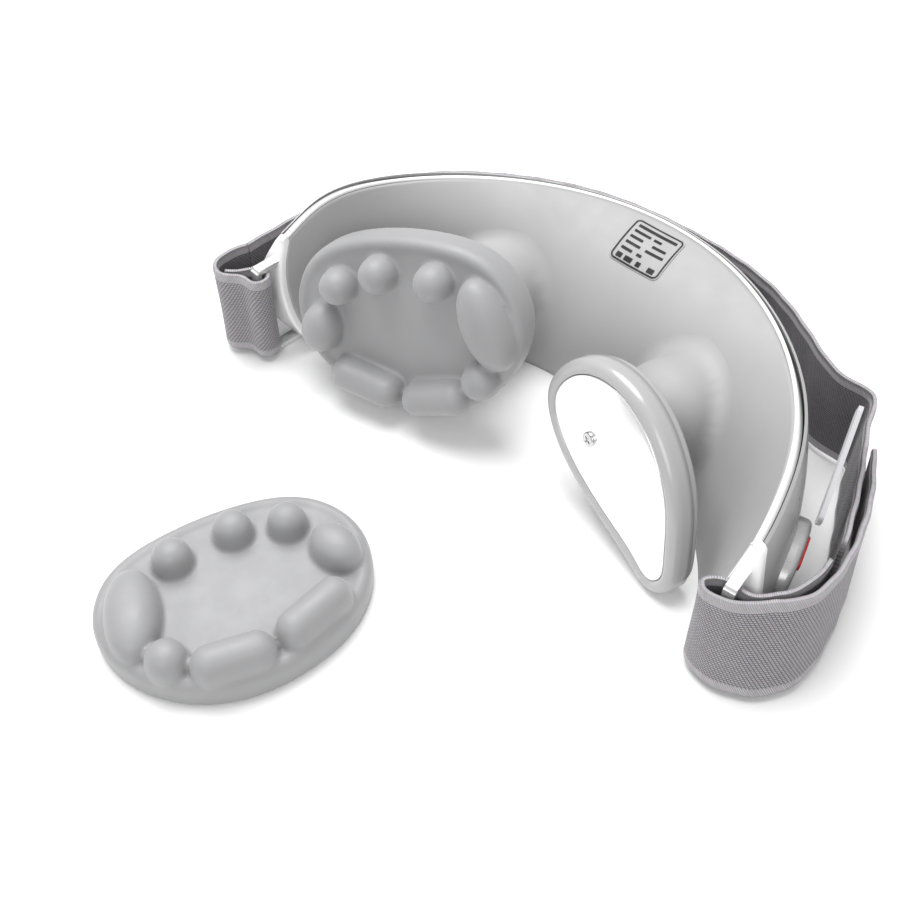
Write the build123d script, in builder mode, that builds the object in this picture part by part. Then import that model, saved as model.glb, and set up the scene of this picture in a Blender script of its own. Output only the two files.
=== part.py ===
"""Neck massager: a C-shaped casing with two ball-jointed massage heads,
slip-on silicone finger pads and an elastic strap on two metal rings.

Frame: millimetres, +Z up, the C opens towards -Y, X = 0 is the plane between
the arms. The origin is the middle of the casing's bottom edge at the back.
"""
import os
from math import cos, radians, sin, sqrt

from build123d import *

# Driving dimensions of the casing
RIM_HALF_WIDTH = 86.4      # half width over the top rim
RIM_FRONT = -51.5          # y of the rim where the arms become straight
RIM_DEPTH = 69.8           # first depth term of the rim's plan curve
RIM_DEPTH_2 = 20.4         # second depth term
RIM_HEIGHT = 44.8          # rim height at the back
RIM_RISE = 8.0             # how much higher the rim is on the arms
RIM_DROP = 12.0            # fall of the rim at the arm ends
ARM_LEAN = 8.0             # outward lean of an arm, bottom to top
BACK_LEAN = 32.0           # extra lean at the back
COVER_WALL = 2.2
SHELL_WALL = 2.4
TRIM_WIDTH = 1.3
SHELL_LIP = 1.0
SEAM = 0.1
FOOT_TRIM = 0.6            # extra depth cut off flat at the bottom edge
END_CAP = 2.2
STATIONS = (0, 16, 32, 48, 64, 76, 84, 90)
ARM_STUB = 7.0             # straight run past the last station

# Ball joints and massage heads
BALL_CENTRE = (35.6, -7.4, 22.8)
BALL_RADIUS = 7.0
LINER_RADIUS = 8.5
FIT = 0.05                 # radial running clearance
DOME_RADIUS = 15.5
DOME_MOUTH = 9.0
DOME_ROOT = 16.4
DOME_DEPTH = 11.0
SOCKET_RADIUS = 12.0
SOCKET_FRONT = 5.0
SOCKET_BACK = -6.6
REACH = 30.5               # ball centre to the face of the electrode plate
STUD_OFFSET = 13.5         # stud axis from the middle of a head, along its length
STUD_RADIUS = 4.0
HEAD_DEPTH = 10.0
BEZEL_DEPTH = 6.5
PLATE_INSET = 4.5
PLATE_THICK = 1.0
DOME_AIM = (13.5, 15.0)    # inward and upward angle of the domes
HEAD_AIM = {"left": (13.9, 16.3, 7.0), "right": (13.6, 11.7, 28.0)}
BEZEL_OUTLINE = (
    (36, -4), (33, 9), (22, 15.3), (5, 16), (-11, 13), (-24, 10.5),
    (-32.5, 7.5), (-34.8, 0), (-29, -9), (-17, -19.5), (-3, -26), (12, -27.3),
    (25, -22.3), (33, -13.5),
)

# Silicone finger pads
PAD_OUTLINE = (
    (-38, -1), (-31, -18), (-14, -27.3), (9, -31), (30, -27), (40, -14),
    (39.5, 1), (31, 15.5), (16, 25.3), (-3, 28), (-22, 23.5), (-34.5, 12),
)
PAD_SKIRT = 7.0
PAD_TOP = 2.5
PAD_WALL_GAP = 0.4
KNOB_HEIGHT = 8.5
LOOSE_PAD_CENTRE = (-18.0, -129.3)
LOOSE_PAD_TURN = -101.3

KNOBS = {
    "round_front": ("circle", (12, -19.4), 0, 5.9, 5.9),
    "round_middle": ("circle", (-6.6, -17.8), 0, 5.9, 5.9),
    "round_back": ("circle", (-20.6, -10.9), 0, 5.9, 5.9),
    "oval": ("ellipse", (-27, 4.7), 100, 8.5, 6.6),
    "bar_back": ("slot", (-10.5, 19.6), 10, 25, 11),
    "bar_front": ("slot", (14.2, 18.8), -17, 23.5, 11),
    "cone": ("circle", (28.8, 8.8), 0, 6, 6),
    "thumb": ("ellipse", (29.6, -9.5), 65, 14.8, 7.8),
}

# Strap and rings
STRAP_LOW = 2.15
STRAP_WIDTH = 32.7
STRAP_THICK = 1.8
RING_Z = (1.1, 36.0)
RING_BAR = 1.8
RING_FLAT = 3.4
RING_PIN = 1.2
RING_ROOT = (87.9, -49.5)
RING_AIM = 5.0             # outward angle of the ring from -Y
RING_INSIDE = 7.0
RING_OUTSIDE = 7.8
SLEEVE_RADIUS = 4.6
SLEEVE_HOLE = 2.8
LEFT_TAIL = ((-91.6, -59.4), (-97.5, -63.6), (-101.8, -61.5), (-102.6, -54.5))
BACK_RUN = (
    (-101.7, -49.5), (-100.4, -32), (-96.5, -8), (-85.5, 14), (-66, 32), (-38, 46.5),
    (0, 52), (38, 46), (60, 33.5), (74, 28), (81.8, 27.3), (84.5, 21.5), (90, 8),
    (97.5, -10), (102.3, -24),
)
RIGHT_LOOP = (
    (103.5, -31), (103, -43), (99.8, -50), (94.5, -53.9), (88.5, -54.4), (84.6, -54.9),
    (82.6, -57.4), (83.8, -61), (89, -63.4), (97, -62.6), (105, -57.5), (110, -48),
    (110.4, -37), (108, -24), (103.5, -9), (98, 4), (92, 14),
)
TAB_SIZE = (33.0, 13.0, 1.3)

# Controls and electronics
PANEL_PLACE = (75, 0.62)   # station angle and share of the way up the shell
PANEL_SIZE = (14.0, 10.5)
PANEL_PROUD = 2.6
SWITCH_SLOT = (15.4, 4.0)
SWITCH_LENGTH = 11.6
SWITCH_UP = 5.6
BUTTON_RADIUS = 3.5
BUTTON_SPREAD = 4.8
BUTTON_DOWN = 2.4
BUTTON_TRAVEL = 0.8
PORT_PLACE = (-70, 0.4)
SCREW_RADIUS = 1.3
SCREW_HEAD = 2.5
POST_RADIUS = 3.0
POST_HOLE = 11.0
SCREW_PLACES = ((-58, 0.3), (-22, 0.3), (22, 0.3), (58, 0.3))
LABEL_SIZE = (18.6, 15.7)
LABEL_Y = 27.5

os.makedirs("parts", exist_ok=True)
SIDES = {"left": -1, "right": 1}
ROUND_STEPS = 3


def save(builder, name):
    """Label a finished piece and write it as one STEP file."""
    builder.part.label = name
    export_step(builder.part, f"parts/{name}.step")


# ---------------------------------------------------------------- casing form
def rim(angle, run=0.0):
    """Top rim point, outward normal and travel direction at a station."""
    s = sin(radians(angle))
    c = cos(radians(angle))
    side = 1 if angle >= 0 else -1
    point = Vector(RIM_HALF_WIDTH * s, RIM_FRONT + RIM_DEPTH * c + RIM_DEPTH_2 * c * c, 0)
    travel = Vector(RIM_HALF_WIDTH * c, -RIM_DEPTH * s - 2 * RIM_DEPTH_2 * c * s, 0).normalized()
    point = point + travel * (side * run)
    normal = Vector(-travel.Y, travel.X, 0)
    height = RIM_HEIGHT + RIM_RISE * s * s - RIM_DROP * abs(s) ** 40 - 0.9 * run
    return point, normal, travel, height


def lean(angle):
    """Horizontal distance from the bottom edge out to the top rim."""
    c = cos(radians(angle))
    return ARM_LEAN + BACK_LEAN / 2 * (c + c * c)


def station(angle, run=0.0):
    """Section plane: x runs outward from the bottom edge and y runs up."""
    point, normal, travel, height = rim(angle, run)
    foot = point - normal * lean(angle)
    return Plane(origin=foot, x_dir=normal, z_dir=travel), lean(angle), height


def inner_curve(p, h):
    """Bezier poles of the cover's face, bottom edge to rim."""
    bulge = (p - ARM_LEAN) / BACK_LEAN
    low = Vector(0.36 * p * (1 - bulge), (0.33 + 0.22 * bulge) * h)
    high = Vector((0.7 - 0.25 * bulge) * p, (0.66 + 0.31 * bulge) * h)
    return [Vector(0, 0), low, high, Vector(p, h)]


def rim_corners(p, h):
    """Rim corners: trim end, lip start and lip end."""
    poles = inner_curve(p, h)
    along = (poles[3] - poles[2]).normalized()
    inward = Vector(along.Y, -along.X)
    trim_end = poles[3] + along * TRIM_WIDTH
    lip_start = trim_end + Vector(COVER_WALL * max(0, inward.X) + SEAM, 0)
    lip_end = lip_start + Vector(SHELL_LIP, -0.6)
    return along, inward, trim_end, lip_start, lip_end


def outer_curve(angle, p, h):
    """Bezier poles of the shell's outside, floor to lip."""
    s2 = sin(radians(angle)) ** 2
    lip_end = rim_corners(p, h)[4]
    foot = Vector(COVER_WALL + SEAM, 0)
    low = Vector(0.55 * p + 6 + 7 * s2, 0.03 * h)
    high = Vector(0.95 * p + 7 + 8 * s2, 0.45 * h)
    return [foot, low, high, lip_end]


def offset_poles(poles, distance):
    """Poles of a curve moved sideways, to the right of its direction."""
    legs = [(b - a).normalized() for a, b in zip(poles, poles[1:])]
    sides = [Vector(leg.Y, -leg.X) for leg in legs]
    turns = [sides[0], (sides[0] + sides[1]).normalized(), (sides[1] + sides[2]).normalized(), sides[2]]
    return [pole + turn * distance for pole, turn in zip(poles, turns)]


def all_stations():
    """Station angles and end runs from the left arm to the right arm."""
    half = [(angle, 0.0) for angle in STATIONS] + [(STATIONS[-1], ARM_STUB)]
    left = [(-angle, run) for angle, run in reversed(half) if angle > 0]
    return left + half


def closed_section(curve, back):
    """Edges of a section between a curve and its return curve."""
    with BuildLine() as section:
        Bezier(*curve)
        Line(curve[-1], back[0])
        Bezier(*back)
        Line(back[-1], curve[0])
    return section.edges()


def end_profile(shift):
    """Side view of the casing with its rounded arm ends, as a wide prism."""
    with BuildPart() as prism:
        with BuildSketch(Plane.YZ.offset(-120)):
            with BuildLine():
                front = Spline((-47 + shift, 42), (-50.5 + shift, 34), (-52 + shift, 23),
                               (-50 + shift, 10), (-44 + shift, -1))
                Polyline(front @ 1, (90, -1), (90, 70), (-47 + shift, 70), front @ 0)
            make_face()
        extrude(amount=240)
    return prism.part


def dome_plane(side):
    """Plane at a ball centre with z along the dome's axis."""
    inward, up = DOME_AIM
    x, y, z = BALL_CENTRE
    flat = cos(radians(up))
    aim = Vector(-side * sin(radians(inward)) * flat, -cos(radians(inward)) * flat, sin(radians(up)))
    return Plane(origin=(side * x, y, z), x_dir=(side * -cos(radians(inward)), sin(radians(inward)), 0), z_dir=aim)


def ring_plane(side, z):
    """Horizontal plane at a ring's hinge with y along the ring, outwards."""
    lean_x = sin(radians(RING_AIM))
    lean_y = cos(radians(RING_AIM))
    x = side * (RING_ROOT[0] - RING_INSIDE * lean_x)
    y = RING_ROOT[1] + RING_INSIDE * lean_y
    return Plane(origin=(x, y, z), x_dir=(-lean_y, -side * lean_x, 0), z_dir=(0, 0, 1))


def ring_slots(side):
    """Cutter for the two slots that a ring's arms swing in."""
    with BuildPart() as slots:
        for low, high in ((-2.0, 7.5), (RING_Z[1] - 1.5, RING_Z[1] + 1.5)):
            with BuildSketch(Plane.XY.offset(low)):
                with Locations((0, RING_INSIDE / 2)):
                    Rectangle(RING_FLAT + 3.6, RING_INSIDE + 9)
            extrude(amount=high - low)
    return ring_plane(side, 0) * slots.part


def outline_face(plane, points, flip, inset=0.0):
    """Face inside a smooth closed outline, drawn on a plane."""
    spots = [Vector(u, flip * v) for u, v in points]
    count = len(spots)
    moved = []
    for index, spot in enumerate(spots):
        way = (spots[(index + 1) % count] - spots[index - 1]).normalized()
        moved.append(spot + Vector(-way.Y, way.X) * (inset * flip))
    with BuildSketch(plane) as sketch:
        with BuildLine():
            Spline(*moved, periodic=True)
        make_face()
    return sketch.sketch


def soft_block(plane, points, flip, low, high, inset=0.0, low_round=0.0, high_round=0.0):
    """Block of an outline's shape with rounded lower and upper edges."""
    turns = [radians(90 * step / ROUND_STEPS) for step in range(ROUND_STEPS + 1)]
    levels = [(low, 0.0)]
    if low_round:
        levels = [(low + low_round * (1 - cos(a)), low_round * (1 - sin(a))) for a in turns]
    if high_round:
        levels += [(high - high_round * (1 - cos(a)), high_round * (1 - sin(a))) for a in turns[::-1]]
    else:
        levels.append((high, 0.0))
    with BuildPart() as block:
        for height, extra in levels:
            add(outline_face(plane.offset(height), points, flip, inset + extra))
        loft(ruled=True)
    return block.part


def knob_solid(plane, flip, shape, centre, turn, long, short):
    """One raised massage knob with a rounded crown."""
    levels = ((-0.6, 0.0), (0.5 * KNOB_HEIGHT, 0.5), (0.8 * KNOB_HEIGHT, 1.4), (0.95 * KNOB_HEIGHT, 2.7), (KNOB_HEIGHT, 4.0))
    with BuildPart() as knob:
        for height, shrink in levels:
            with BuildSketch(plane.offset(PAD_TOP + height)):
                with Locations(Location((centre[0], flip * centre[1], 0), (0, 0, flip * turn))):
                    if shape == "slot":
                        SlotOverall(long - 2 * shrink, short - 2 * shrink)
                    else:
                        Ellipse(long - shrink, short - shrink - 0.01)
        loft(ruled=True)
    return knob.part


def head_plane(side_name):
    """Plane on a head's plate: x towards the middle, z out to the neck."""
    side = SIDES[side_name]
    inward, up, roll = (radians(value) for value in HEAD_AIM[side_name])
    aim = Vector(-side * sin(inward) * cos(up), -cos(inward) * cos(up), sin(up))
    level = Vector(side * aim.Y, -side * aim.X, 0).normalized()
    length = level * cos(roll) + aim.cross(level) * (-side * sin(roll))
    x, y, z = BALL_CENTRE
    centre = Vector(side * x, y, z) + aim * REACH - length * STUD_OFFSET
    return Plane(origin=centre, x_dir=length, z_dir=aim)


def bezier_point(poles, t):
    """Point on a cubic Bezier."""
    u = 1 - t
    weights = (u ** 3, 3 * u * u * t, 3 * u * t * t, t ** 3)
    return sum((pole * weight for pole, weight in zip(poles, weights)), Vector(0, 0))


def shell_plane(angle, share):
    """Plane on the shell's outside: z outward, x along the arm to its end."""
    section, p, h = station(angle)
    poles = outer_curve(angle, p, h)
    here = bezier_point(poles, share)
    ahead = (bezier_point(poles, share + 0.01) - here).normalized()
    origin = section.from_local_coords(Vector(here.X, here.Y, 0))
    tip = section.from_local_coords(Vector(here.X + ahead.Y, here.Y - ahead.X, 0))
    side = 1 if angle >= 0 else -1
    return Plane(origin=origin, x_dir=section.z_dir * side, z_dir=tip - origin)


def cover_distance(angle, share):
    """Distance from the shell's outside straight in to the cover's wall."""
    _, p, h = station(angle)
    poles = outer_curve(angle, p, h)
    here = bezier_point(poles, share)
    ahead = (bezier_point(poles, share + 0.01) - here).normalized()
    inward = Vector(-ahead.Y, ahead.X)
    wall = offset_poles(inner_curve(p, h), COVER_WALL / 2)
    spots = [bezier_point(wall, step / 200) - here for step in range(201)]
    best = min(spots, key=lambda spot: abs(spot.X * inward.Y - spot.Y * inward.X))
    return best.length


def pad_plane():
    """Plane of the loose pad, on the same height over its skirt."""
    x, y = LOOSE_PAD_CENTRE
    turn = radians(LOOSE_PAD_TURN)
    return Plane(origin=(x, y, PAD_SKIRT), x_dir=(cos(turn), sin(turn), 0), z_dir=(0, 0, 1))


def dome(side):
    """Solid of the raised boss around a ball joint."""
    plane = dome_plane(side)
    mouth = sqrt(DOME_RADIUS ** 2 - DOME_MOUTH ** 2)
    with BuildPart() as boss:
        with BuildSketch(Plane.XZ):
            with BuildLine():
                arc = RadiusArc((DOME_MOUTH, mouth), (DOME_RADIUS, 0), DOME_RADIUS)
                Polyline(arc @ 1, (DOME_ROOT, -DOME_DEPTH), (DOME_MOUTH, -DOME_DEPTH), arc @ 0)
            make_face()
        revolve(axis=Axis.Z)
    return plane * boss.part


# ------------------------------------------------------------- casing pieces
with BuildPart() as inner_cover:
    for angle, run in all_stations():
        plane, p, h = station(angle, run)
        poles = inner_curve(p, h)
        back = offset_poles(poles, COVER_WALL)[::-1]
        below = Vector(0, -FOOT_TRIM)
        with BuildLine() as section:
            Bezier(*poles)
            Line(poles[-1], back[0])
            Bezier(*back)
            Polyline(back[-1], back[-1] + below, poles[0] + below, poles[0])
        with BuildSketch(plane):
            make_face(section.edges())
    loft()
    split(bisect_by=Plane.XY, keep=Keep.TOP)
    add(end_profile(END_CAP + SEAM), mode=Mode.INTERSECT)
    for side in SIDES.values():
        add(dome(side))
    for side in SIDES.values():
        axis = dome_plane(side)
        with BuildSketch(axis.offset(-16)):
            Circle(SOCKET_RADIUS + SEAM)
        extrude(amount=16 + SOCKET_FRONT + SEAM, mode=Mode.SUBTRACT)
        with BuildSketch(axis):
            Circle(DOME_MOUTH)
        extrude(amount=20, mode=Mode.SUBTRACT)
        add(ring_slots(side), mode=Mode.SUBTRACT)
    for angle, share in SCREW_PLACES:
        post = shell_plane(angle, share)
        with BuildSketch(post.offset(-cover_distance(angle, share))):
            Circle(POST_RADIUS)
        extrude(amount=cover_distance(angle, share) - SHELL_WALL - 2.0)
        with BuildSketch(post.offset(-POST_HOLE)):
            Circle(SCREW_RADIUS)
        extrude(amount=POST_HOLE, mode=Mode.SUBTRACT)
save(inner_cover, "inner_cover")

with BuildPart() as outer_shell:
    for angle, run in all_stations():
        plane, p, h = station(angle, run)
        poles = outer_curve(angle, p, h)
        lip_start = rim_corners(p, h)[3]
        inside = offset_poles(poles, -SHELL_WALL)[::-1]
        inside[0] = lip_start + Vector(0.02, 0)
        foot_lean = inner_curve(p, h)[1]
        inside[-1] += Vector(1.25 * SHELL_WALL * foot_lean.X / foot_lean.Y + 0.06, 0)
        with BuildLine() as section:
            Bezier(*poles)
            Line(poles[-1], inside[0])
            Bezier(*inside)
            Line(inside[-1], poles[0])
        with BuildSketch(plane):
            make_face(section.edges())
    loft()
    add(end_profile(END_CAP + SEAM), mode=Mode.INTERSECT)
    for side in SIDES.values():
        add(ring_slots(side), mode=Mode.SUBTRACT)
    panel = shell_plane(*PANEL_PLACE)
    with BuildSketch(panel.offset(-8)):
        Ellipse(PANEL_SIZE[0] + SEAM, PANEL_SIZE[1] + SEAM)
    extrude(amount=20, mode=Mode.SUBTRACT)
    with BuildSketch(shell_plane(*PORT_PLACE).offset(-8)):
        SlotOverall(11.2, 5.2)
    extrude(amount=12, mode=Mode.SUBTRACT)
    for angle, share in SCREW_PLACES:
        place = shell_plane(angle, share)
        with BuildSketch(place.offset(-6)):
            Circle(SCREW_RADIUS + SEAM)
        extrude(amount=8, mode=Mode.SUBTRACT)
        with BuildSketch(place.offset(-SHELL_WALL / 2)):
            Circle(SCREW_HEAD + 0.2)
        extrude(amount=4, mode=Mode.SUBTRACT)
save(outer_shell, "outer_shell")

with BuildPart() as trim_band:
    for angle, run in all_stations():
        plane, p, h = station(angle, run)
        poles = inner_curve(p, h)
        along, inward, trim_end, lip_start, lip_end = rim_corners(p, h)
        start = poles[3] + along * SEAM
        depth = inward * COVER_WALL
        with BuildSketch(plane):
            with BuildLine():
                Polyline(start, trim_end, trim_end + depth, start + depth, close=True)
            make_face()
    loft()
    add(end_profile(0), mode=Mode.INTERSECT)
    with BuildPart(mode=Mode.PRIVATE) as caps:
        for angle, run in all_stations():
            plane, p, h = station(angle, run)
            with BuildLine() as section:
                Bezier(*inner_curve(p, h))
                Line(inner_curve(p, h)[-1], rim_corners(p, h)[4])
                Bezier(*outer_curve(angle, p, h)[::-1])
                Line(outer_curve(angle, p, h)[0], Vector(0, 0))
            with BuildSketch(plane):
                make_face(section.edges())
        loft()
        add(end_profile(0), mode=Mode.INTERSECT)
        add(end_profile(END_CAP), mode=Mode.SUBTRACT)
    add(caps.part)
    for side in SIDES.values():
        add(ring_slots(side), mode=Mode.SUBTRACT)
save(trim_band, "trim_band")

# ------------------------------------------------------ inside of the casing
BOARD_PLANE = Plane(origin=(0, 22.7, 20.9), x_dir=(1, 0, 0), z_dir=(0, -0.75, 0.66))
with BuildPart() as main_pcb:
    with BuildSketch(BOARD_PLANE):
        RectangleRounded(40, 21, 2)
    extrude(amount=1.2)
    with BuildSketch(BOARD_PLANE.offset(1.2)):
        with Locations((-12, 0)):
            Rectangle(7, 7)
        with Locations((6, 4)):
            Rectangle(9, 5)
        with GridLocations(4, 10, 3, 2):
            Rectangle(2, 1.2)
    extrude(amount=1.4)
save(main_pcb, "main_pcb")

with BuildPart() as battery:
    with BuildSketch(BOARD_PLANE.offset(-6.0)):
        RectangleRounded(34, 16, 2)
    extrude(amount=5)
    fillet(battery.edges().filter_by(GeomType.LINE).group_by(Axis.X)[-1], 0.4)
save(battery, "battery")

with BuildPart() as rating_label:
    for angle in (-16, -8, 0, 8, 16):
        plane, p, h = station(angle)
        poles = inner_curve(p, h)
        lower = offset_poles(poles, -0.03)
        upper = offset_poles(poles, -0.28)[::-1]
        with BuildSketch(plane):
            make_face(closed_section(lower, upper))
    loft()
    with BuildPart(mode=Mode.PRIVATE) as prism:
        with BuildSketch(Plane.XY.offset(36)):
            with Locations((0, LABEL_Y)):
                RectangleRounded(*LABEL_SIZE, 1.8)
        extrude(amount=20)
    add(prism.part, mode=Mode.INTERSECT)
save(rating_label, "rating_label")

with BuildPart() as charging_port:
    port = shell_plane(*PORT_PLACE)
    with BuildSketch(port.offset(-8)):
        SlotOverall(11, 5)
    extrude(amount=7.7)
    with BuildSketch(port.offset(-6)):
        SlotOverall(8.9, 3.1)
    extrude(amount=8, mode=Mode.SUBTRACT)
    with BuildSketch(port.offset(-6)):
        Rectangle(6.4, 0.7)
    extrude(amount=4.6)
save(charging_port, "charging_port")

with BuildPart() as casing_screws:
    for angle, share in SCREW_PLACES:
        place = shell_plane(angle, share)
        with BuildSketch(place.offset(-POST_HOLE + 1)):
            Circle(SCREW_RADIUS - 0.02)
        extrude(amount=POST_HOLE - 1 - SHELL_WALL / 2)
        with BuildSketch(place.offset(-SHELL_WALL / 2)):
            Circle(SCREW_HEAD)
        extrude(amount=1.1)
        with BuildSketch(place.offset(-SHELL_WALL / 2 + 0.5)):
            Rectangle(3.2, 0.7)
            Rectangle(0.7, 3.2)
        extrude(amount=2, mode=Mode.SUBTRACT)
save(casing_screws, "casing_screws")

# ------------------------------------------------------------ control panel
PANEL = shell_plane(*PANEL_PLACE)
BUTTON_SPOTS = {"plus_button": -BUTTON_SPREAD, "minus_button": BUTTON_SPREAD}

with BuildPart() as control_panel:
    with BuildSketch(PANEL.offset(-3)):
        Ellipse(*PANEL_SIZE)
    extrude(amount=3 + PANEL_PROUD)
    fillet(control_panel.faces().sort_by(Axis(PANEL.origin, PANEL.z_dir))[-1].edges(), 1.8)
    with BuildSketch(PANEL.offset(-3)):
        with Locations((0, -SWITCH_UP)):
            SlotOverall(*SWITCH_SLOT)
        with Locations([(x, BUTTON_DOWN) for x in BUTTON_SPOTS.values()]):
            Circle(BUTTON_RADIUS + 0.15)
    extrude(amount=12, mode=Mode.SUBTRACT)
save(control_panel, "control_panel")

with BuildPart() as power_slider:
    with BuildSketch(PANEL.offset(-2.8)):
        with Locations((0, -SWITCH_UP)):
            SlotOverall(SWITCH_LENGTH, SWITCH_SLOT[1] - 0.3)
    extrude(amount=2.8 + PANEL_PROUD + 0.7)
    fillet(power_slider.faces().sort_by(Axis(PANEL.origin, PANEL.z_dir))[-1].edges(), 0.6)
save(power_slider, "power_slider")

for name, x in BUTTON_SPOTS.items():
    with BuildPart() as button:
        with BuildSketch(PANEL.offset(-2.4)):
            with Locations((x, BUTTON_DOWN)):
                Circle(BUTTON_RADIUS)
        extrude(amount=2.4 + PANEL_PROUD + 0.5)
        fillet(button.faces().sort_by(Axis(PANEL.origin, PANEL.z_dir))[-1].edges(), 0.6)
        with BuildSketch(PANEL.offset(PANEL_PROUD + 0.5)):
            with Locations((x, BUTTON_DOWN)):
                Rectangle(3.0, 0.7)
                if name == "plus_button":
                    Rectangle(0.7, 3.0)
        extrude(amount=-0.3, mode=Mode.SUBTRACT)
    save(button, name)

with BuildPart() as button_board:
    with BuildSketch(PANEL.offset(-6.2)):
        RectangleRounded(15.5, 13, 1.5)
    extrude(amount=1.0)
    with BuildSketch(PANEL.offset(-5.2)):
        with Locations([(x, BUTTON_DOWN) for x in BUTTON_SPOTS.values()]):
            Rectangle(4, 4)
    extrude(amount=1.6)
save(button_board, "button_board")

# ------------------------------------------------------------- massage heads
for side_name, side in SIDES.items():
    AXIS = dome_plane(side)
    HEAD = head_plane(side_name)
    STUD = Plane(origin=HEAD.from_local_coords(Vector(STUD_OFFSET, 0, 0)), x_dir=HEAD.x_dir, z_dir=HEAD.z_dir)

    with BuildPart() as ball_socket:
        with BuildSketch(AXIS.offset(SOCKET_BACK)):
            Circle(SOCKET_RADIUS)
        extrude(amount=SOCKET_FRONT - SOCKET_BACK)
        with Locations(AXIS.location):
            Sphere(LINER_RADIUS + FIT, mode=Mode.SUBTRACT)
    save(ball_socket, f"{side_name}_ball_socket")

    with BuildPart() as socket_retainer:
        with BuildSketch(AXIS.offset(SOCKET_BACK - 2.2)):
            Circle(SOCKET_RADIUS)
            Circle(5.5, mode=Mode.SUBTRACT)
            with PolarLocations(9, 3):
                Circle(1.0, mode=Mode.SUBTRACT)
        extrude(amount=2.1)
    save(socket_retainer, f"{side_name}_socket_retainer")

    with BuildPart() as ball_liner:
        with Locations(AXIS.location):
            Sphere(LINER_RADIUS)
            Sphere(BALL_RADIUS + FIT, mode=Mode.SUBTRACT)
        split(bisect_by=AXIS.offset(4.4), keep=Keep.BOTTOM)
        split(bisect_by=AXIS.offset(-5.4), keep=Keep.TOP)
    save(ball_liner, f"{side_name}_ball_liner")

    with BuildPart() as ball_stud:
        with Locations(STUD.offset(-REACH).location):
            Sphere(BALL_RADIUS)
        with BuildSketch(STUD.offset(-REACH)):
            Circle(STUD_RADIUS)
        extrude(amount=REACH - 4.6)
        with BuildSketch(STUD.offset(-6.3)):
            Circle(STUD_RADIUS)
            Circle(3.4, mode=Mode.SUBTRACT)
        extrude(amount=0.9, mode=Mode.SUBTRACT)
    save(ball_stud, f"{side_name}_ball_stud")

    with BuildPart() as stud_clip:
        with BuildSketch(STUD.offset(-6.25)):
            Circle(6.2)
            Circle(3.42, mode=Mode.SUBTRACT)
            with Locations((5, 0)):
                Rectangle(8, 4.5, mode=Mode.SUBTRACT)
        extrude(amount=0.8)
    save(stud_clip, f"{side_name}_stud_clip")

    with BuildPart() as neck_boot:
        with BuildSketch(STUD.offset(-HEAD_DEPTH - 0.4)):
            Circle(9.6)
        extrude(amount=-8)
        with BuildSketch(STUD.offset(-HEAD_DEPTH - 0.4)):
            Circle(STUD_RADIUS + 0.02)
        extrude(amount=-12, mode=Mode.SUBTRACT)
        with Locations(STUD.offset(-REACH).location):
            Sphere(DOME_RADIUS + 0.45, mode=Mode.SUBTRACT)
    save(neck_boot, f"{side_name}_neck_boot")

    with BuildPart() as head_base:
        add(soft_block(HEAD, BEZEL_OUTLINE, side, -HEAD_DEPTH, -BEZEL_DEPTH, 0.8, low_round=2.0))
        add(soft_block(HEAD, BEZEL_OUTLINE, side, -HEAD_DEPTH + 1.4, 0, 3.2), mode=Mode.SUBTRACT)
        with BuildSketch(STUD.offset(-HEAD_DEPTH + 1.4)):
            Circle(7)
        extrude(amount=2.2)
        with BuildSketch(STUD.offset(-HEAD_DEPTH - 1)):
            Circle(STUD_RADIUS + FIT)
        extrude(amount=HEAD_DEPTH, mode=Mode.SUBTRACT)
    save(head_base, f"{side_name}_head_base")

    with BuildPart() as head_bezel:
        add(soft_block(HEAD, BEZEL_OUTLINE, side, -BEZEL_DEPTH, 0.5, high_round=3.0))
        recess = soft_block(HEAD, BEZEL_OUTLINE, side, -PLATE_THICK - 0.05, 5, PLATE_INSET - 0.12)
        add(recess, mode=Mode.SUBTRACT)
        hollow = soft_block(HEAD, BEZEL_OUTLINE, side, -BEZEL_DEPTH - 1, -2.2, 2.6)
        add(hollow, mode=Mode.SUBTRACT)
        with BuildSketch(STUD.offset(-4)):
            Circle(1.25)
        extrude(amount=5, mode=Mode.SUBTRACT)
    save(head_bezel, f"{side_name}_head_bezel")

    with BuildPart() as electrode_plate:
        add(soft_block(HEAD, BEZEL_OUTLINE, side, -PLATE_THICK, 0, PLATE_INSET))
        with BuildSketch(STUD.offset(-2)):
            Circle(1.25)
        extrude(amount=5, mode=Mode.SUBTRACT)
    save(electrode_plate, f"{side_name}_electrode_plate")

    with BuildPart() as electrode_screw:
        with BuildSketch(STUD.offset(-4.1)):
            Circle(1.15)
        extrude(amount=4.12)
        with BuildSketch(STUD.offset(0.02)):
            Circle(2.3)
        extrude(amount=1.0)
        fillet(electrode_screw.faces().sort_by(Axis(HEAD.origin, HEAD.z_dir))[-1].edges(), 0.6)
        with BuildSketch(STUD.offset(0.5)):
            Rectangle(2.6, 0.6)
            Rectangle(0.6, 2.6)
        extrude(amount=2, mode=Mode.SUBTRACT)
    save(electrode_screw, f"{side_name}_electrode_screw")

    with BuildPart() as screw_nut:
        with BuildSketch(STUD.offset(-4.0)):
            RegularPolygon(2.5, 6)
            Circle(1.17, mode=Mode.SUBTRACT)
        extrude(amount=1.6)
    save(screw_nut, f"{side_name}_screw_nut")

    MOTOR = Plane(origin=HEAD.from_local_coords(Vector(-18, side * -4, -5.5)), x_dir=HEAD.y_dir, z_dir=HEAD.x_dir)
    with BuildPart() as vibration_motor:
        with BuildSketch(MOTOR):
            Circle(2.9)
            Circle(0.55, mode=Mode.SUBTRACT)
        extrude(amount=11)
    save(vibration_motor, f"{side_name}_vibration_motor")

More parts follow.
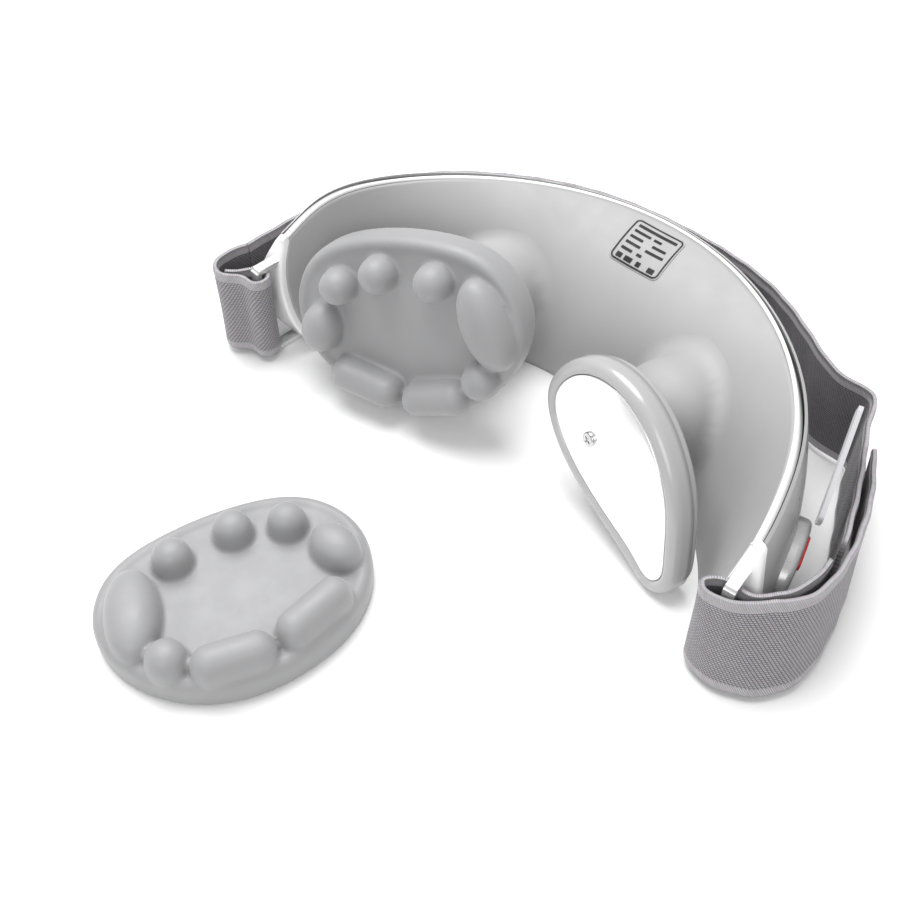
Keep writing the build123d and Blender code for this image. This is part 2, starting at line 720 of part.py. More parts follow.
    with BuildPart() as motor_weight:
        with BuildSketch(MOTOR.offset(2)):
            Circle(0.5)
        extrude(amount=13.6)
        with BuildSketch(MOTOR.offset(11.6)):
            with BuildLine():
                bow = CenterArc((0, 0), 2.6, 0, 180)
                Line(bow @ 1, bow @ 0)
            make_face()
        extrude(amount=4)
    save(motor_weight, f"{side_name}_motor_weight")

# ------------------------------------------------------ silicone finger pads
for side_name, side in SIDES.items():
    SEAT = head_plane("left") if side_name == "left" else pad_plane()
    with BuildPart() as finger_pad:
        add(soft_block(SEAT, PAD_OUTLINE, side, -PAD_SKIRT, PAD_TOP, high_round=2.2))
        socket = soft_block(SEAT, BEZEL_OUTLINE, side, -PAD_SKIRT - 1, 0.8, -PAD_WALL_GAP)
        add(socket, mode=Mode.SUBTRACT)
        with BuildSketch(SEAT.offset(-1)):
            with Locations((STUD_OFFSET, 0)):
                Circle(3.2)
        extrude(amount=2.4, mode=Mode.SUBTRACT)
        for shape, centre, turn, long, short in KNOBS.values():
            add(knob_solid(SEAT, side, shape, centre, turn, long, short))
    save(finger_pad, f"{side_name}_finger_pad")


# ----------------------------------------------------------- rings and strap
def band(points, thick):
    """Upright strip that follows a plan curve."""
    spots = [Vector(x, y) for x, y in points]
    ends = [spots[0] * 2 - spots[1]] + spots + [spots[-1] * 2 - spots[-2]]
    sides = [(after - before).normalized() for before, after in zip(ends, ends[2:])]
    left = [spot + Vector(-way.Y, way.X) * (thick / 2) for spot, way in zip(spots, sides)]
    right = [spot - Vector(-way.Y, way.X) * (thick / 2) for spot, way in zip(spots, sides)]
    with BuildPart() as strip:
        with BuildSketch(Plane.XY.offset(STRAP_LOW)):
            with BuildLine():
                Spline(*left)
                Line(left[-1], right[-1])
                Spline(*right[::-1])
                Line(right[0], left[0])
            make_face()
        extrude(amount=STRAP_WIDTH)
    return strip.part


for side_name, side in SIDES.items():
    low, high = RING_Z
    RING = ring_plane(side, 0)
    span = RING_INSIDE + RING_OUTSIDE
    with BuildPart() as strap_ring:
        with BuildSketch(RING.offset(low - RING_BAR / 2)):
            Circle(RING_PIN)
        extrude(amount=high - low + RING_BAR)
        for z in RING_Z:
            with BuildSketch(RING.offset(z - RING_BAR / 2)):
                with Locations((0, span / 2)):
                    Rectangle(RING_FLAT, span)
            extrude(amount=RING_BAR)
        with BuildSketch(RING.offset(low)):
            with Locations((0, span)):
                Rectangle(RING_FLAT, RING_BAR)
        extrude(amount=high - low)
    save(strap_ring, f"{side_name}_strap_ring")

    with BuildPart() as ring_bracket:
        with BuildSketch(RING.offset(11.5)):
            Rectangle(5.4, 6)
            Circle(RING_PIN + FIT, mode=Mode.SUBTRACT)
        extrude(amount=7)
    save(ring_bracket, f"{side_name}_ring_bracket")

with BuildPart() as left_strap_loop:
    add(band(LEFT_TAIL, 2 * STRAP_THICK))
    with BuildSketch(ring_plane(-1, STRAP_LOW)):
        with Locations((0, RING_INSIDE + RING_OUTSIDE)):
            Circle(SLEEVE_RADIUS)
    extrude(amount=STRAP_WIDTH)
    with BuildSketch(ring_plane(-1, STRAP_LOW)):
        with Locations((0, RING_INSIDE + RING_OUTSIDE)):
            Circle(SLEEVE_HOLE)
    extrude(amount=STRAP_WIDTH, mode=Mode.SUBTRACT)
save(left_strap_loop, "left_strap_loop")

with BuildPart() as strap_back_run:
    add(band(BACK_RUN, STRAP_THICK))
save(strap_back_run, "strap_back_run")

with BuildPart() as right_strap_loop:
    add(band(RIGHT_LOOP, STRAP_THICK))
save(right_strap_loop, "right_strap_loop")

TAB = Plane(origin=(88.5, -7.5, 40), x_dir=(-0.237, 0.788, 0.568), z_dir=(0.95, 0.3, -0.02))
with BuildPart() as strap_tab:
    with BuildSketch(TAB):
        RectangleRounded(TAB_SIZE[0], TAB_SIZE[1], 2)
    extrude(amount=TAB_SIZE[2])
save(strap_tab, "strap_tab")
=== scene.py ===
from math import atan2, cos, pi, radians, sin, sqrt

import bpy
import numpy as np
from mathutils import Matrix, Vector
from mathutils.bvhtree import BVHTree


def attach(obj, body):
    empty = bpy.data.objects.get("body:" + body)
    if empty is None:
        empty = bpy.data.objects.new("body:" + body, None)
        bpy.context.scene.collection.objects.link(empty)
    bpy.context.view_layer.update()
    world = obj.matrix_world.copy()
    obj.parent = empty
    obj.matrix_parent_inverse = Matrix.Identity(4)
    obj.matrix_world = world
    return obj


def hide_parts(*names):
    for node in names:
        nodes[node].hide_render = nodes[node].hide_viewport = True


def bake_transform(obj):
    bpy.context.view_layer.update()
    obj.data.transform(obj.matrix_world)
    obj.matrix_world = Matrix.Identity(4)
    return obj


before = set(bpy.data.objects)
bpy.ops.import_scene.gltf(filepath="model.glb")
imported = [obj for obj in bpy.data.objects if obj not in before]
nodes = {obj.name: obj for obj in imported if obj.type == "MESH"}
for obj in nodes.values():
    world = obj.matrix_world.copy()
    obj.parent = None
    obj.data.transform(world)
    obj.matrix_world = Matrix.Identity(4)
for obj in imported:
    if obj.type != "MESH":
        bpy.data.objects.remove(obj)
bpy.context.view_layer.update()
MM = 0.001

# ------------------------------------------------------------------ camera
TARGET = Vector((-2.62, -61.48, 21.31)) * MM
TOWARDS_CAMERA = Vector((0.4289, -0.4752, 0.7683))
DISTANCE = 351.6 * MM
camera = bpy.data.objects.new("camera", bpy.data.cameras.new("camera"))
bpy.context.scene.collection.objects.link(camera)
camera.data.lens = 48.25
camera.data.sensor_width = 36
camera.data.clip_start = 0.01
camera.location = TARGET + TOWARDS_CAMERA * DISTANCE
camera.rotation_euler = (-TOWARDS_CAMERA).to_track_quat("-Z", "Y").to_euler()
bpy.context.scene.camera = camera


# ---------------------------------------------------------------- materials
def material(name):
    """A new node material and its shader."""
    made = bpy.data.materials.new(name)
    made.use_nodes = True
    return made, made.node_tree.nodes["Principled BSDF"]


def node(made, kind, **inputs):
    """A new node with its sockets set by name."""
    fresh = made.node_tree.nodes.new(kind)
    for key, value in inputs.items():
        fresh.inputs[key.replace("_", " ")].default_value = value
    return fresh


def link(made, source, target):
    made.node_tree.links.new(source, target)


def colour_noise(made, shader, coords, scale, low, high):
    """Base colour that drifts between two values."""
    noise = node(made, "ShaderNodeTexNoise", Scale=scale, Detail=3.0)
    ramp = made.node_tree.nodes.new("ShaderNodeValToRGB")
    ramp.color_ramp.elements[0].position = 0.3
    ramp.color_ramp.elements[1].position = 0.7
    ramp.color_ramp.elements[0].color = (*low, 1)
    ramp.color_ramp.elements[1].color = (*high, 1)
    link(made, coords, noise.inputs["Vector"])
    link(made, noise.outputs["Fac"], ramp.inputs["Fac"])
    link(made, ramp.outputs["Color"], shader.inputs["Base Color"])


def bump_noise(made, shader, coords, scale, strength):
    """Fine grain in the surface."""
    noise = node(made, "ShaderNodeTexNoise", Scale=scale, Detail=4.0)
    bump = node(made, "ShaderNodeBump", Strength=strength, Distance=0.0001)
    link(made, coords, noise.inputs["Vector"])
    link(made, noise.outputs["Fac"], bump.inputs["Height"])
    link(made, bump.outputs["Normal"], shader.inputs["Normal"])


def rough_noise(made, shader, coords, scale, low, high):
    """Roughness that varies a little over the surface."""
    noise = node(made, "ShaderNodeTexNoise", Scale=scale, Detail=5.0)
    span = made.node_tree.nodes.new("ShaderNodeMapRange")
    span.inputs["From Min"].default_value = 0.35
    span.inputs["From Max"].default_value = 0.65
    span.inputs["To Min"].default_value = low
    span.inputs["To Max"].default_value = high
    link(made, coords, noise.inputs["Vector"])
    link(made, noise.outputs["Fac"], span.inputs["Value"])
    link(made, span.outputs["Result"], shader.inputs["Roughness"])


def moulded(name, colour, rough, grain, strength, coat=0.0, drift=0.03, metallic=0.0, sheen=0.0):
    """Moulded plastic, silicone or metal with a drifting tone and a fine grain."""
    made, shader = material(name)
    low = tuple(max(0.0, c * (1 - drift)) for c in colour)
    high = tuple(min(1.0, c * (1 + drift)) for c in colour)
    coords = made.node_tree.nodes.new("ShaderNodeTexCoord").outputs["Object"]
    colour_noise(made, shader, coords, 45.0, low, high)
    rough_noise(made, shader, coords, 160.0, rough * 0.9, rough * 1.12)
    bump_noise(made, shader, coords, grain, strength)
    shader.inputs["Coat Weight"].default_value = coat
    shader.inputs["Coat Roughness"].default_value = 0.12
    shader.inputs["Metallic"].default_value = metallic
    shader.inputs["Sheen Weight"].default_value = sheen
    return made


def grey(value):
    return (value, value, value)


COVER = moulded("cover_grey", grey(0.37), 0.6, 1500.0, 0.05)
SHELL = moulded("shell_grey", grey(0.38), 0.30, 1500.0, 0.05, coat=0.25)
TRIM = moulded("trim_white", grey(0.86), 0.2, 1500.0, 0.03, coat=0.5, drift=0.01)
HEAD_PLASTIC = moulded("head_plastic", grey(0.40), 0.22, 1500.0, 0.03, coat=0.5)
SILICONE = moulded("pad_silicone", (0.30, 0.30, 0.306), 0.5, 1800.0, 0.12, sheen=0.2)
BOOT = moulded("boot_rubber", grey(0.012), 0.5, 1200.0, 0.15)
MIRROR = moulded("electrode_mirror", grey(0.95), 0.14, 2500.0, 0.004, drift=0.004, metallic=0.6)
CHROME = moulded("ring_chrome", grey(0.8), 0.2, 1800.0, 0.0, metallic=0.6)
SCREW = moulded("screw_chrome", grey(0.6), 0.22, 1800.0, 0.05, metallic=1.0)
SILVER = moulded("panel_silver", grey(0.5), 0.28, 1800.0, 0.04, coat=0.3, metallic=0.35)
RED = moulded("slider_red", (0.75, 0.02, 0.02), 0.25, 1500.0, 0.03, coat=0.5)
BUTTON = moulded("button_grey", grey(0.3), 0.4, 1500.0, 0.08)
BLACK = moulded("black_plastic", grey(0.02), 0.4, 1500.0, 0.08)
DARK = moulded("joint_plastic", grey(0.12), 0.45, 1500.0, 0.1)
BOARD = moulded("circuit_board", (0.02, 0.12, 0.05), 0.35, 600.0, 0.1)
FOIL = moulded("battery_foil", grey(0.5), 0.3, 300.0, 0.15, metallic=0.6)
STEEL = moulded("steel", grey(0.55), 0.3, 1500.0, 0.06, metallic=1.0)
FILM = moulded("label_film", grey(0.33), 0.5, 1500.0, 0.02)
INK = moulded("label_ink", grey(0.006), 0.7, 1500.0, 0.02)
TAB = moulded("tab_fabric", (0.5, 0.5, 0.52), 0.4, 2500.0, 0.3, sheen=0.3)


def webbing(name, light, dark, cell, gap):
    """Woven elastic: short cords in slanted rows, with dark gaps and a soft sheen."""
    made, shader = material(name)
    uv = made.node_tree.nodes.new("ShaderNodeUVMap")
    uv.uv_map = "weave"
    brick = made.node_tree.nodes.new("ShaderNodeTexBrick")
    brick.offset = 0.0
    brick.squash = 1.0
    settings = {
        "Scale": 1.0, "Mortar Size": gap, "Mortar Smooth": 1.0, "Bias": 0.0,
        "Brick Width": cell[0], "Row Height": cell[1],
    }
    for key, value in settings.items():
        brick.inputs[key].default_value = value
    brick.inputs["Color1"].default_value = (*light, 1)
    brick.inputs["Color2"].default_value = (*(c * 0.86 for c in light), 1)
    brick.inputs["Mortar"].default_value = (*dark, 1)
    link(made, uv.outputs["UV"], brick.inputs["Vector"])
    noise = node(made, "ShaderNodeTexNoise", Scale=0.9, Detail=4.0)
    link(made, uv.outputs["UV"], noise.inputs["Vector"])
    mix = made.node_tree.nodes.new("ShaderNodeMix")
    mix.data_type = "RGBA"
    mix.blend_type = "MULTIPLY"
    mix.inputs["Factor"].default_value = 0.28
    link(made, brick.outputs["Color"], mix.inputs["A"])
    link(made, noise.outputs["Color"], mix.inputs["B"])
    link(made, mix.outputs["Result"], shader.inputs["Base Color"])
    bump = node(made, "ShaderNodeBump", Strength=0.75, Distance=0.00035)
    bump.invert = True
    link(made, brick.outputs["Fac"], bump.inputs["Height"])
    link(made, bump.outputs["Normal"], shader.inputs["Normal"])
    shader.inputs["Roughness"].default_value = 0.85
    shader.inputs["Sheen Weight"].default_value = 0.35
    return made


CORD_CELL = (1.05, 0.74)
WEBBING = webbing("strap_webbing", (0.50, 0.475, 0.505), (0.05, 0.044, 0.056), CORD_CELL, 0.23)
# Darker webbing for the strap faces turned into the folds and towards the casing: painted shade.
PAINTED_SHADE_WEBBING = webbing("strap_painted_shade", (0.2, 0.185, 0.205), (0.02, 0.017, 0.024), CORD_CELL, 0.23)
BINDING = webbing("strap_binding", (0.56, 0.535, 0.565), (0.2, 0.19, 0.21), (0.62, 40.0), 0.12)

# ------------------------------------------------------------- mesh helpers


def finish_mesh(name, verts, faces, made, smooth=True, uvs=None):
    """An object from points in millimetres."""
    mesh = bpy.data.meshes.new(name)
    mesh.from_pydata([tuple(v * MM for v in vert) for vert in verts], [], faces)
    mesh.update()
    if uvs is not None:
        layer = mesh.uv_layers.new(name="weave")
        for loop in mesh.loops:
            layer.data[loop.index].uv = uvs[loop.vertex_index]
    for polygon in mesh.polygons:
        polygon.use_smooth = smooth
    mesh.materials.append(made)
    obj = bpy.data.objects.new(name, mesh)
    bpy.context.scene.collection.objects.link(obj)
    return obj


def grid_faces(rows, cols, closed_rows=False, closed_cols=False):
    """Quads over a grid stored row by row."""
    faces = []
    for i in range(rows if closed_rows else rows - 1):
        for j in range(cols if closed_cols else cols - 1):
            a, b = i * cols + j, i * cols + (j + 1) % cols
            c, d = ((i + 1) % rows) * cols + (j + 1) % cols, ((i + 1) % rows) * cols + j
            faces.append((a, b, c, d))
    return faces


def join(objects, name):
    """One object from several."""
    bpy.ops.object.select_all(action="DESELECT")
    for obj in objects:
        obj.select_set(True)
    bpy.context.view_layer.objects.active = objects[0]
    bpy.ops.object.join()
    objects[0].name = name
    objects[0].data.name = name
    return objects[0]


def apply_modifiers(obj):
    """The object with its modifiers worked into its mesh."""
    bpy.context.view_layer.update()
    graph = bpy.context.evaluated_depsgraph_get()
    mesh = bpy.data.meshes.new_from_object(obj.evaluated_get(graph))
    obj.modifiers.clear()
    obj.data = mesh
    return obj


def solidify(obj, thickness):
    """Wall thickness given to the side behind the faces."""
    modifier = obj.modifiers.new("thick", "SOLIDIFY")
    modifier.thickness = thickness * MM
    modifier.offset = -1.0
    modifier.use_even_offset = True
    return apply_modifiers(obj)


def cubic(points, count, closed=False):
    """Points along a smooth cubic spline through given points."""
    p = np.array(points, float)
    if closed:
        p = np.vstack([p, p[:1]])
    n = len(p)
    h = np.linalg.norm(np.diff(p, axis=0), axis=1)
    if closed:
        m = n - 1
        a = np.zeros((m, m))
        r = np.zeros((m, p.shape[1]))
        for i in range(m):
            before = h[i - 1]
            a[i, (i - 1) % m] += before
            a[i, i] += 2 * (before + h[i])
            a[i, (i + 1) % m] += h[i]
            r[i] = 6 * ((p[i + 1] - p[i]) / h[i] - (p[i] - p[(i - 1) % m]) / before)
        second = np.linalg.solve(a, r)
        second = np.vstack([second, second[:1]])
    else:
        a = np.eye(n)
        r = np.zeros((n, p.shape[1]))
        for i in range(1, n - 1):
            a[i, i - 1 : i + 2] = h[i - 1], 2 * (h[i - 1] + h[i]), h[i]
            r[i] = 6 * ((p[i + 1] - p[i]) / h[i] - (p[i] - p[i - 1]) / h[i - 1])
        second = np.linalg.solve(a, r)
    knots = np.concatenate([[0], np.cumsum(h)])
    where = np.linspace(0, knots[-1], count + 1 if closed else count)
    if closed:
        where = where[:-1]
    index = np.clip(np.searchsorted(knots, where, side="right") - 1, 0, n - 2)
    span = h[index][:, None]
    t = (where - knots[index])[:, None]
    k = span - t
    return (
        second[index] * k ** 3 / (6 * span)
        + second[index + 1] * t ** 3 / (6 * span)
        + (p[index] / span - second[index] * span / 6) * k
        + (p[index + 1] / span - second[index + 1] * span / 6) * t
    )


# -------------------------------------------------------------- casing form
COVER_WALL = 2.2
TRIM_WIDTH = 1.3
SHELL_FOOT = 2.3
SHELL_LIP = (1.0, -0.6)
SEAM = 0.1
RIM_HALF_WIDTH, RIM_BACK, RIM_ROUND, RIM_FRONT = 86.4, 69.8, 20.4, -51.5
RIM_HEIGHT, RIM_RISE, END_DROP = 44.8, 8.0, 12.0
LEAST_LEAN, LEAN_GAIN = 8.0, 16.0
ARM_CUT = ((42, -47), (34, -50.5), (23, -52), (10, -50), (-1, -44))
CUT_CURVE = cubic(ARM_CUT[::-1], 80)


def arm_end(z):
    """How far forward the arm's rounded end reaches at a height."""
    return float(np.interp(z, CUT_CURVE[:, 0], CUT_CURVE[:, 1]))


def section(s):
    """Foot, outward normal, lean and height at a place along the casing, in degrees."""
    angle = max(-90.0, min(90.0, s))
    run = (abs(s) - 90.0) * 1.218 if abs(s) > 90 else 0.0
    si, co = sin(radians(angle)), cos(radians(angle))
    side = 1 if s >= 0 else -1
    travel = np.array((RIM_HALF_WIDTH * co, -RIM_BACK * si - 2 * RIM_ROUND * co * si))
    travel /= np.linalg.norm(travel)
    point = np.array((RIM_HALF_WIDTH * si, RIM_FRONT + RIM_BACK * co + RIM_ROUND * co * co))
    point = point + travel * side * run
    normal = np.array((-travel[1], travel[0]))
    lean = LEAST_LEAN + LEAN_GAIN * (co + co * co)
    height = RIM_HEIGHT + RIM_RISE * si * si - END_DROP * abs(si) ** 40 - 0.9 * run
    return point - normal * lean, normal, lean, height, si * si


def curves(s):
    """Cover curve, trim end and shell curve at a place, as poles."""
    foot, normal, p, h, s2 = section(s)
    bulge = (p - LEAST_LEAN) / (2 * LEAN_GAIN)
    inner = np.array(((0, 0), (0.36 * p * (1 - bulge), (0.33 + 0.22 * bulge) * h),
                      ((0.7 - 0.25 * bulge) * p, (0.66 + 0.31 * bulge) * h), (p, h)))
    along = inner[3] - inner[2]
    along /= np.linalg.norm(along)
    inward = np.array((along[1], -along[0]))
    trim = inner[3] + along * TRIM_WIDTH
    lip = trim + np.array((COVER_WALL * max(0.0, inward[0]) + SEAM, 0))
    outer = np.array(((SHELL_FOOT, 0), (0.55 * p + 6 + 7 * s2, 0.03 * h),
                      (0.95 * p + 7 + 8 * s2, 0.45 * h), lip + SHELL_LIP))
    return foot, normal, inner, along, inward, trim, outer


def bezier(poles, t):
    """The point at t on a cubic curve."""
    u = 1 - t
    return poles[0] * u ** 3 + poles[1] * 3 * u * u * t + poles[2] * 3 * u * t * t + poles[3] * t ** 3


def place(foot, normal, spot):
    """Section coordinates to space."""
    return np.array((foot[0] + normal[0] * spot[0], foot[1] + normal[1] * spot[0], spot[1]))


def cover_spot(s, t):
    """On the cover's visible side, foot at 0 to rim at 1."""
    foot, normal, inner = curves(s)[:3]
    return place(foot, normal, bezier(inner, t))


def trim_spot(s, t, depth=0.0):
    """Across the trim from the cover's rim at 0 to the shell's lip at 1."""
    foot, normal, inner, along, inward = curves(s)[:5]
    spot = inner[3] + along * (SEAM + t * (TRIM_WIDTH - SEAM)) + inward * depth
    return place(foot, normal, spot)


def reach(spot, t, shift):
    """The place along the arm where a line at t meets the arm's end."""
    low, high = 70.0, 96.0
    for _ in range(26):
        middle = (low + high) / 2
        _, y, z = spot(middle, t)
        if y > arm_end(z) + shift:
            low = middle
        else:
            high = middle
    return low


def swept(spot, shares, count, shift):
    """Grid from arm end to arm end, one row per share."""
    rows = []
    for t in shares:
        end = reach(spot, t, shift)
        rows.append([spot(end * (2 * j / (count - 1) - 1), t) for j in range(count)])
    return np.array(rows)


CAP_SHIFT = 2.3
COVER_ROWS, COVER_COLS = 45, 221
cover_grid = swept(cover_spot, np.linspace(0, 1, COVER_ROWS), COVER_COLS, CAP_SHIFT)
cover_verts = cover_grid.reshape(-1, 3)
cover_tree = BVHTree.FromPolygons([tuple(p) for p in cover_verts], grid_faces(COVER_ROWS, COVER_COLS))

BALL = {"left": np.array((-35.6, -7.4, 22.8)), "right": np.array((35.6, -7.4, 22.8))}
SIDES = {"left": -1, "right": 1}
DOME_R = 15.5
MOUTH_R = 9.0
DOME_HOLE_R = 13.5
DOME_COLS = 96
DOME_ROWS = 60
DOME_FILLET = 5.5
DOME_LOWEST = -10.5


def dome_axes(side_name):
    """Axes of a dome, z out of its mouth."""
    side = SIDES[side_name]
    inward, up = radians(13.5), radians(15.0)
    z = np.array((-side * sin(inward) * cos(up), -cos(inward) * cos(up), sin(up)))
    x = np.array((side * -cos(inward), sin(inward), 0.0))
    return x, np.cross(z, x), z


def ray(origin, way):
    """Where a ray meets the cover, if it does."""
    hit = cover_tree.ray_cast(Vector(origin), Vector(way))
    return None if hit[0] is None else np.array(hit[0])


def dome_profile(cover_at):
    """Radius and height from a dome's mouth down to the cover, in one direction round its axis."""
    corner = cover_at(DOME_R + 0.4)
    corner = -6.0 if corner is None else corner
    start = max(corner, DOME_LOWEST)
    top = sqrt(DOME_R ** 2 - MOUTH_R ** 2)
    arc = [(MOUTH_R, top - 3.0), (MOUTH_R, top - 0.5), (MOUTH_R + 0.15, top - 0.1)]
    for k in range(1, 19):
        a = atan2(top, MOUTH_R) * (1 - k / 18)
        arc.append((DOME_R * cos(a), DOME_R * sin(a)))
    if start < 0:
        arc += [(DOME_R + 0.4 * k / 8, start * k / 8) for k in range(1, 9)]
    arc = [q for q in arc if q[1] > start + DOME_FILLET or q[0] < MOUTH_R + 0.2]
    cut_radius = DOME_R + 0.2 if start < 0 else sqrt(max(0.0, DOME_R ** 2 - start ** 2))
    first, cut = np.array(arc[-1]), np.array((cut_radius, start))
    far = cut_radius + DOME_FILLET
    far_height = cover_at(far)
    far_height = start if far_height is None else far_height
    last = np.array((far, far_height))
    for k in range(1, 15):
        t = k / 14
        arc.append(tuple((1 - t) ** 2 * first + 2 * t * (1 - t) * cut + t * t * last))
    further = cover_at(far + 2.0)
    arc.append((far + 2.0, (far_height if further is None else further) - 0.25))
    line = np.array(arc)
    length = np.concatenate([[0], np.cumsum(np.linalg.norm(np.diff(line, axis=0), axis=1))])
    where = np.linspace(0, length[-1], DOME_ROWS)
    return zip(np.interp(where, length, line[:, 0]), np.interp(where, length, line[:, 1]))


def dome_object(side_name):
    """The boss round a ball joint, flowing into the cover all round."""
    x, y, z = dome_axes(side_name)
    centre = BALL[side_name]
    rings = []
    for step in range(DOME_COLS):
        turn = 2 * pi * step / DOME_COLS
        out = x * cos(turn) + y * sin(turn)

        def cover_at(radius, out=out):
            spot = ray(centre + out * radius + z * 40, -z)
            return None if spot is None else float(np.dot(spot - centre, z))

        rings.append([centre + out * r + z * h for r, h in dome_profile(cover_at)])
    verts = np.array(rings).reshape(-1, 3)
    faces = grid_faces(DOME_COLS, DOME_ROWS, closed_rows=True)
    return finish_mesh(f"dome_{side_name}", verts, faces, COVER)


def cover_faces():
    """The cover's quads apart from those under the domes."""
    keep = []
    for face in grid_faces(COVER_ROWS, COVER_COLS):
        middle = cover_verts[list(face)].mean(0)
        inside = False
        for side_name, centre in BALL.items():
            z = dome_axes(side_name)[2]
            away = middle - centre
            if np.linalg.norm(away - z * np.dot(away, z)) < DOME_HOLE_R:
                inside = True
        if not inside:
            keep.append(face)
    return keep


cover = finish_mesh("inner_cover_skin", cover_verts, cover_faces(), COVER)
solidify(cover, COVER_WALL)
domes = [dome_object(side_name) for side_name in SIDES]
cover = join([cover, *domes], "inner_cover_skin")
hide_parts("inner_cover")
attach(cover, "casing")

# ------------------------------------------------------- trim and end caps
# Share across the trim and depth under its top, once round the bead.
TRIM_ROUND = (
    (0.0, 0.9), (0.0, 0.35), (0.06, 0.1), (0.18, 0.0), (0.5, -0.05),
    (0.82, 0.0), (0.94, 0.1), (1.0, 0.35), (1.0, 2.1), (0.0, 2.1),
)
TRIM_COLS = 241
trim_rows = []
for share, depth in TRIM_ROUND:
    def bead(s, _, share=share, depth=depth):
        return trim_spot(s, share, depth)
    end = reach(bead, 0, 1.2)
    trim_rows.append([bead(end * (2 * j / (TRIM_COLS - 1) - 1), 0) for j in range(TRIM_COLS)])
trim_verts = np.array(trim_rows).reshape(-1, 3)
trim = finish_mesh("trim_skin", trim_verts, grid_faces(len(TRIM_ROUND), TRIM_COLS, closed_rows=True), TRIM)


WALL_SHARE = 0.93    # the share of a cap's height below the trim
CAP_ROUND = ((2.25, 0.0), (1.5, -0.02), (0.9, 0.0), (0.45, 0.12), (0.15, 0.4))


def cap_side(s, t, outer_side):
    """Along the inner or the outer side of the casing's end, foot at 0 to the trim's edge at 1."""
    foot, normal, inner, _, _, trim_end, outer = curves(s)
    wall = outer if outer_side else inner
    if t < WALL_SHARE:
        return place(foot, normal, bezier(wall, t / WALL_SHARE))
    return place(foot, normal, wall[3] + (trim_end - wall[3]) * (t - WALL_SHARE) / (1 - WALL_SHARE))


def end_cap(side):
    """The rounded cap that closes an arm's end."""
    rows = []
    for t in np.linspace(0, 1, 49):
        def at_end(outer_side, shift, tuck, t=t):
            def spot(s, _):
                return cap_side(s, t, outer_side)
            return spot(reach(spot, 0, shift), 0) + (tuck, 0, 0)

        row = [at_end(False, shift, tuck) for shift, tuck in CAP_ROUND]
        front_in = at_end(False, 0.02, 0.9)
        front_out = at_end(True, 0.02, -0.9)
        if front_out[0] < front_in[0]:
            front_in = front_out = (front_in + front_out) / 2
        row += [front_in + (front_out - front_in) * k / 6 for k in range(7)]
        row += [at_end(True, shift, -tuck) for shift, tuck in CAP_ROUND[::-1]]
        rows.append(row)
    grid = np.array(rows) * (side, 1, 1)
    return finish_mesh("cap", grid.reshape(-1, 3), grid_faces(grid.shape[0], grid.shape[1]), TRIM)


trim = join([trim, end_cap(1), end_cap(-1)], "trim_skin")
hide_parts("trim_band")
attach(trim, "casing")

# ------------------------------------------------------------------ label


def on_cover(x, y, lift):
    """The place on the cover under a plan point, lifted off it a little."""
    hit = cover_tree.ray_cast(Vector((x, y, 80)), Vector((0, 0, -1)))
    normal = hit[1] if hit[1].z > 0 else -hit[1]
    return np.array(hit[0] + normal * lift)


LABEL_X, LABEL_Y = 0.0, 27.5
LABEL_W, LABEL_D = 18.6, 15.7
INK_LIFT = 0.42


def print_patch(x0, x1, y0, y1):
    """A thin printed patch that follows the cover."""
    across = max(2, int((x1 - x0) / 0.5))
    along = max(2, int((y1 - y0) / 0.5))
    verts = []
    for j in range(along + 1):
        for i in range(across + 1):
            x = x0 + (x1 - x0) * i / across
            y = y0 + (y1 - y0) * j / along
            verts.append(on_cover(LABEL_X + x, LABEL_Y + y, INK_LIFT))
    return verts, grid_faces(along + 1, across + 1)


def ring_patch(width, depth, radius, line):
    """A printed rounded frame that follows the cover."""
    verts = []
    for inset in (0.0, line):
        w, d, r = width / 2 - inset, depth / 2 - inset, radius - inset
        plan = []
        for quarter, (sx, sy) in enumerate(((1, 1), (-1, 1), (-1, -1), (1, -1))):
            for k in range(7):
                a = pi / 2 * (quarter + k / 6)
                plan.append((sx * (w - r) + r * cos(a), sy * (d - r) + r * sin(a)))
        for k, (x, y) in enumerate(plan):
            nx, ny = plan[(k + 1) % len(plan)]
            for step in range(20):
                share = step / 20
                spot = (LABEL_X + x + (nx - x) * share, LABEL_Y + y + (ny - y) * share)
                verts.append(on_cover(*spot, INK_LIFT))
    return verts, grid_faces(2, len(verts) // 2, closed_cols=True)


def printed(parts, name, made):
    """One object from several patches."""
    verts, faces = [], []
    for part_verts, part_faces in parts:
        start = len(verts)
        verts += [tuple(v) for v in part_verts]
        faces += [tuple(start + i for i in face) for face in part_faces]
    return finish_mesh(name, verts, faces, made)


# Each row of bars: its height on the label, the bars' height and where they run.
BARS = (
    (5.4, 1.0, ((-7.2, 7.2),)),
    (3.2, 0.85, ((-7.2, -1.0), (0.2, 3.0))),
    (1.0, 0.85, ((-7.2, -2.4), (1.2, 6.2))),
    (-1.2, 0.85, ((-7.2, -1.8), (0.2, 6.8))),
    (-3.4, 0.85, ((-7.2, -3.2), (-1.4, 0.4))),
    (-5.8, 1.5, ((-7.2, -5.2), (-4.2, -1.4), (0.2, 1.8), (4.6, 7.0))),
)
patches = [ring_patch(LABEL_W - 0.8, LABEL_D - 0.8, 1.6, 0.5)]
for y, tall, runs in BARS:
    patches += [print_patch(x0, x1, y - tall / 2, y + tall / 2) for x0, x1 in runs]
ink = printed(patches, "label_print", INK)
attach(ink, "casing")

